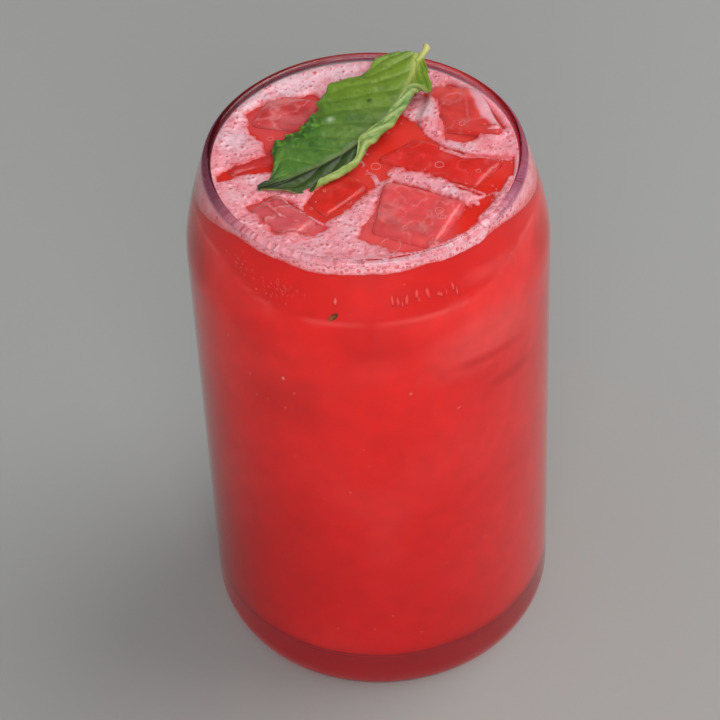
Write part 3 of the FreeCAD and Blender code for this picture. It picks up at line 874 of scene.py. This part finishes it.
def foam_surface(ice):
    """The foam's top, which laps over the edges of the ice."""
    reach = float(inner_radius(FOAM_TOP)) + 0.1
    axis = np.arange(-reach - 1, reach + 1, STEP)
    x, y = np.meshgrid(axis, axis, indexing="ij")
    radius = np.hypot(x, y)
    over = surface_heights(x, y, ice)
    amount = foam_amount(x, y)
    patch = rough(111, x, y, 6)
    depth = 0.4 + 0.3 * patch - 0.25 * eased(24, 8, radius) + 0.5 * eased(reach - 4, reach - 0.5, radius)
    top = DRINK_TOP - 0.15 + np.clip(amount, -0.3, 1) * (0.25 + depth)
    on_ice = blurred(np.maximum(over, top), 3) + 0.03 + 0.2 * np.clip(amount, 0, 1)
    near_ice = blurred((over > DRINK_TOP - 0.2).astype(float), 2) > 0.01
    top = np.where(near_ice, np.maximum(top, on_ice), top)
    top += 0.1 * rough(121, x, y, 0.9) + 0.05 * soft(131, x, y, 0.35)
    white = np.zeros(x.shape)
    for px, py, far, strength in WHITE_PLACES:
        white = np.maximum(white, strength * hump(np.hypot(x - px, y - py), far))
    white = eased(0.05, 0.95, white * (1.15 + 0.4 * rough(141, x, y, 1.6)) + 0.12 * patch)
    busy = 0.6 + 0.4 * eased(-0.4, 0.5, rough(155, x, y, 5))
    pits = eased(0.16, 0.42, rough(151, x, y, 0.75))
    colour = painted(
        filled(PINK, x.shape), (PALE, white),
        ((240, 118, 128), 0.6 * eased(0.1, 0.8, rough(145, x, y, 3.2)) * (1 - white)),
        (DEEP, (0.74 - 0.34 * white) * pits * busy))
    rng = np.random.default_rng(21)
    for _ in range(TOP_BUBBLES):
        turn, far = rng.uniform(0, 2 * math.pi), reach * math.sqrt(rng.uniform(0, 1))
        size = 0.2 + 0.45 * rng.uniform() ** 3
        px, py = far * math.cos(turn), far * math.sin(turn)
        span = int(size * 1.6 / STEP) + 2
        i, j = int((px - axis[0]) / STEP), int((py - axis[0]) / STEP)
        part = tuple(slice(max(k - span, 0), k + span + 1) for k in (i, j))
        gap = np.hypot(x[part] - px, y[part] - py) / size
        top[part] += 0.35 * size * (1 - eased(0.7, 1.1, gap)) * np.sqrt(np.clip(1 - gap**2 * 0.8, 0, 1))
        hollow = 0.85 * (1 - eased(0.4, 0.8, gap))
        colour[part] = painted(colour[part], ((206, 60, 74), hollow), (PALE, 0.6 * hump(gap - 1, 0.25)))
    thin = eased(1.08, 0, amount + 0.3 * rough(157, x, y, 0.8))
    colour = painted(colour, ((228, 62, 60), 0.92 * thin))
    shown = (amount > -0.05) & (radius < reach + STEP)
    return sheet_between("foam_top", x, y, top, top - 0.6, shown, colour, FOAM_LOOK)


def top_bubbles(pieces):
    """Bubbles that stand on the red places: thin pale rings laid on these pieces. Some rings, such as the second and
    third listed, stand where the red places show small highlights, so their pale colour is partly painted highlight.
    """
    rng = np.random.default_rng(33)
    # the second and third places are small highlights, painted as pale rings
    places = [(4.5, -25.6, 2), (15.3, -2.4, 0.9), (23.2, -5.2, 0.5), (14.6, -17.5, 0.9), (15.2, -19.6, 0.6),
              (2.2, -1.4, 1), (-3.6, -12.2, 0.5), (7.4, -22, 0.45), (26.5, -4, 0.4), (-19.5, 9, 0.6),
              (20.6, 8.8, 0.6), (-14.6, -22.6, 1.2), (-12.4, -22.8, 0.7), (-16.5, -21.6, 0.6)]
    while len(places) < RING_BUBBLES:
        x, y = rng.uniform(-31, 31, 2)
        inside = max(float(inside_by(np.array(x), np.array(y), outline)) for outline in OPEN_PLACES)
        crowded = any(math.hypot(x - px, y - py) < far + 0.7 for px, py, far in places)
        if math.hypot(x, y) < 31.5 and not crowded and (0.2 < inside < 1.6 or rng.uniform() < 0.03):
            places.append((x, y, 0.14 + 0.26 * rng.uniform() ** 2))
    around, tube = 28, 8
    turn, side = turns(around)[:, None], turns(tube)
    points, faces = [], []
    for (x, y, size), level in zip(places, surface_heights(*np.array(places).T[:2], pieces)):
        thick = 0.045 + 0.035 * min(size, 1.5)
        out = size * (1 + 0.05 * np.sin(3 * turn + x)) + thick * np.cos(side)
        faces += shifted(grid_faces(around, tube, wrap=True, closed=True), len(points))
        ring = stacked(x + out * np.cos(turn), y + out * np.sin(turn), level + 0.05 + thick * np.sin(side))
        points += [*ring.reshape(-1, 3)]
    return new_piece("bubble_rings", points, faces, FOAM_LOOK, filled((242, 124, 124), (len(points),)))


def sheet_between(name, x, y, top, under, shown, colour, material):
    """A closed sheet over the shown places of a grid, between two heights."""
    corners = [(slice(i, i - 1 or None), slice(j, j - 1 or None)) for i, j in ((0, 0), (1, 0), (1, 1), (0, 1))]
    cells = np.all([shown[corner] for corner in corners], axis=0)
    number = np.arange(shown.size).reshape(shown.shape)
    used, quads = np.unique(np.stack([number[corner][cells] for corner in corners], -1), return_inverse=True)
    faces = closed_sheet([tuple(quad) for quad in quads.reshape(-1, 4).tolist()], len(used))
    points = [stacked(x, y, level).reshape(-1, 3)[used] for level in (top, under)]
    return new_piece(name, np.vstack(points), faces, material, np.tile(colour.reshape(-1, 3)[used], (2, 1)))


# ---- leaf

LEAF_LENGTH, LEAF_BOW, LEAF_SAG = 52.0, 17.0, 1.3
FLAT_WIDTH, ROLLED_WIDTH, ROLL = 16.0, 5.2, math.radians(165)
LEAF_SKIN, RIB_SWELL = 0.42, 0.5
STEM_END = (-3.0, 0.6, 0.3)    # the middle of the CAD stem's end, which the leaf is placed by
LEAF_TURN, LEAF_PITCH = math.radians(-131.9), math.radians(1.5)
TEETH = 10
FLAT_OUTLINE = (
    (0, 0.3), (0.04, 0.52), (0.12, 0.64), (0.2, 0.86), (0.27, 1.03), (0.36, 1.02), (0.46, 0.99), (0.54, 0.95),
    (0.62, 0.84), (0.665, 0.77), (0.7, 0.84), (0.76, 0.84), (0.82, 0.8), (0.87, 0.7), (0.905, 0.5), (0.935, 0.12),
    (1, 0.04),
)
ROLLED_OUTLINE = (
    (0, 0.16), (0.05, 0.42), (0.1, 0.68), (0.17, 0.98), (0.2, 0.96), (0.23, 0.84), (0.45, 1), (0.62, 1.14),
    (0.72, 1.22), (0.8, 1.2), (0.9, 0.85), (0.96, 0.2), (1, 0.08),
)


def outline_share(outline, along):
    """How wide a half of the blade is at these shares of the rib, with the corners of the outline softened."""
    where, share = zip(*outline)
    return sum(np.interp(np.clip(along + step, 0, 1), where, share) for step in (-0.02, 0, 0.02)) / 3


def leaf_lines(along, reach):
    """The veins that leave the rib: how much of one is at each place, and how near it is, from 0 to 1."""
    start = along - 0.2 * reach**1.3 - 0.05 * reach
    wave = start * 9.0 + 0.15
    near = np.abs(wave - np.floor(wave) - 0.5) * 2
    return hump(1 - near, 0.1 + 0.1 * reach), near


def leaf_half(rolled, along, share, notch):
    """Half of the blade: how far across and up each place lies, its share of the width, its vein and width."""
    outline, widest = (ROLLED_OUTLINE, ROLLED_WIDTH) if rolled else (FLAT_OUTLINE, FLAT_WIDTH)
    width = np.maximum(widest * outline_share(outline, along), 0.5)
    bite = np.clip(0.6 * notch + 0.55 * rough(201 + rolled, along * 50, 0, 3), 0, None)
    bite = bite * (0.7 if rolled else 1) * eased(0, 0.06, along) * (1 - eased(0.96, 1, along))
    width = np.maximum(width - bite, 0.3)
    if rolled:
        folded = eased(0.19, 0.235, along) * (1 - eased(0.78, 0.85, along))
        opened = eased(0.56, 0.66, along)
        start = np.radians(18 * folded * (1 - opened) - 10) * eased(0.97, 0.85, along)
        slope = start + ROLL * folded * eased(0, 0.26, share - (0.4 + 0.28 * opened))
        step = width / (share.size - 1)
        across, up = (np.cumsum(f(slope) * step, axis=1) - f(slope[:, :1]) * step for f in (np.cos, np.sin))
    else:
        across = -share * width
        wave = 0.5 * np.sin(10 * math.pi * along) * eased(1, 0.85, along)
        up = width * (0.12 * share - 0.18 * share**2) + wave * share**2
        slope = 0.36 * share - 0.12
    vein, near = leaf_lines(along, share)
    puff = 0.42 * np.sin(math.pi * np.clip(1 - near, 0, 1) / 2) - 0.25
    puff = puff * eased(0, 0.15, share) * eased(1, 0.85, share) * eased(0.5, 3, width)
    crinkle = 0.26 * rough(211 + rolled, along * 50, share * width, 2.2) * eased(0.05, 0.5, share)
    crinkle += 0.11 * rough(216 + rolled, along * 50, share * width, 0.9) * eased(0.02, 0.2, share)
    curl = 0.5 * eased(0.8, 1, share) * rough(221 + rolled, along * 50, 0, 2.5)
    lift = puff + crinkle + curl - 0.22 * hump(share * width, 0.55)
    return np.broadcast_arrays(across - np.sin(slope) * lift, up + np.cos(slope) * lift, share, vein, width)


def leaf_grid():
    """The upper face of the blade, with each place's share along the rib and out from it, side, vein and width."""
    rows, half = 300, 46
    along = np.linspace(0.004, 0.998, rows)[:, None]
    saw = ((along + 0.022 * rough(199, along * 50, 0, 6)) * TEETH) % 1.0
    notch = (1 - eased(0, 0.8, saw)) + eased(0.88, 1, saw)
    share = np.linspace(0, 1, half)[None, :]
    flat, roll = (leaf_half(rolled, along, share, notch) for rolled in (False, True))
    across, up, reach, vein, width = (np.hstack((a[:, ::-1], b[:, 1:])) for a, b in zip(flat, roll))
    ahead = np.hstack((np.full((rows, 1), LEAF_LENGTH), 2 * LEAF_BOW * (1 - 2 * along)))
    ahead /= np.linalg.norm(ahead, axis=1)[:, None]
    points = stacked(LEAF_LENGTH * along - ahead[:, 1:] * across,
                     2 * LEAF_BOW * along * (1 - along) + ahead[:, :1] * across, up - LEAF_SAG * along**2)
    side = np.hstack((-np.ones((rows, half)), np.ones((rows, half - 1))))
    return points, along * np.ones_like(across), reach, side, vein, width


def leaf_tints(along, reach, side, vein, width):
    """The colours of the upper and of the lower face, with painted shade toward the tip and on the front half near it,
    a painted shadow in the rib's crease, and a painted highlight on the upper face.
    """
    u, v = along * 50, reach * width * side
    edge = eased(0.93, 1, reach)
    rib = hump(reach * width, 0.62 - 0.3 * along)
    margin = eased(0.6, 0.9, reach) * eased(0.52, 0.62, along) * (side < 0)
    speckle = eased(-0.2, 0.5, rough(239, u, v, 1.1))
    # the dark line along the rib's crease: painted shadow
    crease_shadow = hump(side * reach * width - 0.5, 0.9) * eased(0.42, 0.6, along)
    upper = painted(
        filled((114, 143, 28), along.shape),
        # darker green toward the tip: partly the blade's own colour, partly painted shade where it turns from the light
        ((72, 118, 38), 0.9 * eased(0.15, 0.72, along)),
        ((116, 140, 66), 0.6 * hump(along - 0.5, 0.16) * eased(0.75, 0.2, reach)),
        ((36, 84, 16), 0.55 * eased(0, 0.7, rough(231, u, v, 4))),
        ((130, 160, 62), 0.5 * eased(0.15, 0.7, rough(235, u, v, 5))),
        ((36, 84, 16), 0.45 * eased(0.1, 0.7, rough(237, u, v, 1.3))),
        ((132, 158, 66), 0.4 * vein * (1 - 0.7 * reach)),
        ((120, 170, 40), 0.45 * edge))
    mottled = painted(filled((30, 74, 10), along.shape), ((112, 176, 36), speckle))
    upper = painted(
        mixed(upper, mottled, 0.75 * margin),
        ((178, 182, 92), 0.85 * rib * (1 - 0.75 * along)),
        ((190, 204, 100), 0.7 * hump(reach * width, 1.3) * eased(0.16, 0, along)),
        ((22, 40, 10), 0.9 * hump(u - 17, 0.6) * hump(v + 5.6, 0.5)),
        # Painted highlight: a small pale bluish spot on the upper face.
        ((196, 214, 178), 0.75 * hump(u - 27, 0.9) * hump(v + 9.6, 0.7)),
        # Painted shade on the front half near the tip, painted shadow in the rib's crease, and painted shade at the
        # tip.
        ((48, 66, 4), 0.85 * eased(0.56, 0.66, along) * eased(0, 0.1, side * reach)),
        ((18, 34, 2), 0.85 * crease_shadow),
        ((34, 46, 4), 0.8 * eased(0.9, 0.96, along)))
    lower = painted(
        filled((108, 146, 70), along.shape),
        ((138, 162, 84), eased(-0.4, 0.6, rough(241, u, v, 2))),
        ((158, 172, 82), 0.6 * eased(0.4, 0.65, along)),
        ((84, 128, 56), 0.5 * eased(0.1, 0.6, rough(243, u, v, 0.9))),
        ((186, 200, 124), 0.6 * vein),
        ((176, 192, 96), 0.5 * edge),
        ((190, 200, 120), 0.8 * rib))
    return upper, lower


def make_leaf():
    points, along, reach, side, vein, width = leaf_grid()
    normal = np.cross(np.gradient(points, axis=0), np.gradient(points, axis=1))
    normal /= np.maximum(np.linalg.norm(normal, axis=-1), 1e-9)[..., None]
    rib = hump(reach * width, 0.7) * (1 - 0.7 * along)
    thick = LEAF_SKIN * (1 - 0.5 * eased(0.8, 1, reach)) + RIB_SWELL * rib + 0.1 * vein * (1 - reach)
    back = points - normal * thick[..., None]
    stem_points, stem_faces, stem_tints = leaf_stem()
    faces = closed_sheet(grid_faces(*along.shape), along.size) + shifted(stem_faces, 2 * along.size)
    x, y, z = np.vstack((points.reshape(-1, 3), back.reshape(-1, 3), stem_points, STEM_END)).T
    x, z = rotated(x, z, -LEAF_PITCH)
    x, y = rotated(x, y, LEAF_TURN)
    low, high = box_mm("mint_leaf")
    placed = stacked(x + (low[0] - x.min()), y + (high[1] - 0.4 - y[-1]), z + (high[2] - z.max()))[:-1]
    tints = [face.reshape(-1, 3) for face in leaf_tints(along, reach, side, vein, width)]
    return new_piece("mint_blade", placed, faces, LEAF_LOOK, np.vstack((*tints, stem_tints)))


def leaf_stem():
    """The cut stem that goes on from the rib: points, faces and colours."""
    sections, around = 22, 20
    share = np.linspace(0, 1, sections)[:, None]
    x, y, z = 2.6 - 4.7 * share, 1.6 - 0.9 * share + 0.2 * np.sin(math.pi * share), -0.35 + 0.65 * share**1.3
    size, angles = 0.55 + 0.25 * share + 0.12 * share**6, turns(around)
    rings = stacked(x, y + size * np.cos(angles), z + 0.9 * size * np.sin(angles))
    ends = [(x[i, 0], y[i, 0], z[i, 0]) for i in (0, -1)]
    shade = np.repeat(share, around)
    tints = painted(filled((172, 188, 84), shade.shape), ((204, 198, 128), shade))
    tints = np.vstack((tints, linear(172, 188, 84), linear(206, 196, 146)))
    return np.vstack((rings.reshape(-1, 3), *ends)), tube_faces(sections, around), tints


# ---- the pieces

LEAF_LOOK = tinted_material("mint", 0.42, 0.12, (1.0, 2.0, 0.4), 0.35, 1500.0, specular=0.45)
FOAM_LOOK = tinted_material("foam_look", 0.38, 0.35, (1.6, 0.6, 0.6), 0.5, 1700.0, specular=0.5, coat=0.2)
PULP_LOOK = tinted_material("pulp", 0.5, 0.0, (1.0, 0.4, 0.3), 0.0, 900.0, specular=0.0)

glass = make_glass()
ice = [ice_piece(number) for number in ICE_LOOKS]
drink = make_drink(ice)
foam = foam_surface(ice)
band = foam_side()
leaf = make_leaf()
pulp = flecks()
herb = herb_fleck()
bubbles = top_bubbles([drink, foam, *ice])

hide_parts("glass")
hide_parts("drink")
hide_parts("foam")
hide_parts("mint_leaf")
for cube, name in zip(ice, CUBES):
    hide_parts(name)
slots = [(glass, "glass"), (drink, "drink"), (pulp, "drink"), (herb, "drink"), (foam, "foam"), (band, "foam"),
         (bubbles, "foam"), (leaf, "leaf")]
slots += [(cube, "ice") for cube in ice]
for piece, slot in slots:
    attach(piece, "root")


# ---- floor, light and camera

def stage_floor():
    mesh = bpy.data.meshes.new("floor")
    reach, rise, deep = 1.6, 1.2, 1.1
    bend = [(deep * math.sin(a), rise - rise * math.cos(a)) for a in np.linspace(0, math.pi / 2, 24)]
    run = [(-reach, 0)] + [(0.5 + y, z) for y, z in bend] + [(0.5 + deep, 2.4)]
    points = [(x, y, z) for y, z in run for x in (-reach * 1.5, reach * 1.5)]
    faces = [(2 * i, 2 * i + 1, 2 * i + 3, 2 * i + 2) for i in range(len(run) - 1)]
    mesh.from_pydata(points, [], faces)
    material, tree = new_material("floor_paint")
    wired(tree, tree.nodes["Principled BSDF"], {"Base Color": rgba(166, 166, 163), "Roughness": 0.75})
    dressed(mesh, material)
    floor = new_object("floor", mesh)
    floor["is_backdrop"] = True


def area_light(name, place, target, size, power, colour=(1, 1, 1)):
    lamp = bpy.data.lights.new(name, "AREA")
    lamp.shape, lamp.size, lamp.energy, lamp.color = "DISK", size, power, colour
    item = new_object(name, lamp)
    item.location = place
    item.rotation_euler = (Vector(target) - Vector(place)).to_track_quat("-Z", "Y").to_euler()


stage_floor()
area_light("window", (0.7, 0.25, 1.2), (0, 0, 0.08), 1.1, 9.5, (1, 0.99, 0.97))
area_light("front", (0.05, -1.5, 0.85), (0, 0, 0.06), 1.2, 14)

world = bpy.data.worlds.new("room")
bpy.context.scene.world = world
world.use_nodes = True
wired(world.node_tree, world.node_tree.nodes["Background"], {"Color": rgba(222, 226, 232), "Strength": 0.5})
bpy.context.scene.view_settings.view_transform = "Standard"

lens = bpy.data.cameras.new("camera")
lens.lens, lens.sensor_width = 146.48, 36.0
lens.clip_start, lens.clip_end = 0.01, 20.0
camera = new_object("camera", lens)
place, target, roll = Vector((0, -0.46113, 0.51893)), Vector((-0.00306, 0, 0.06739)), -0.0505
aim = (target - place).to_track_quat("-Z", "Y").to_matrix().to_4x4()
camera.matrix_world = Matrix.Translation(place) @ aim @ Matrix.Rotation(roll, 4, "Z")
bpy.context.scene.camera = camera

{"cad": CAD_BOX, "visual": [list(corner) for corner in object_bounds()]}
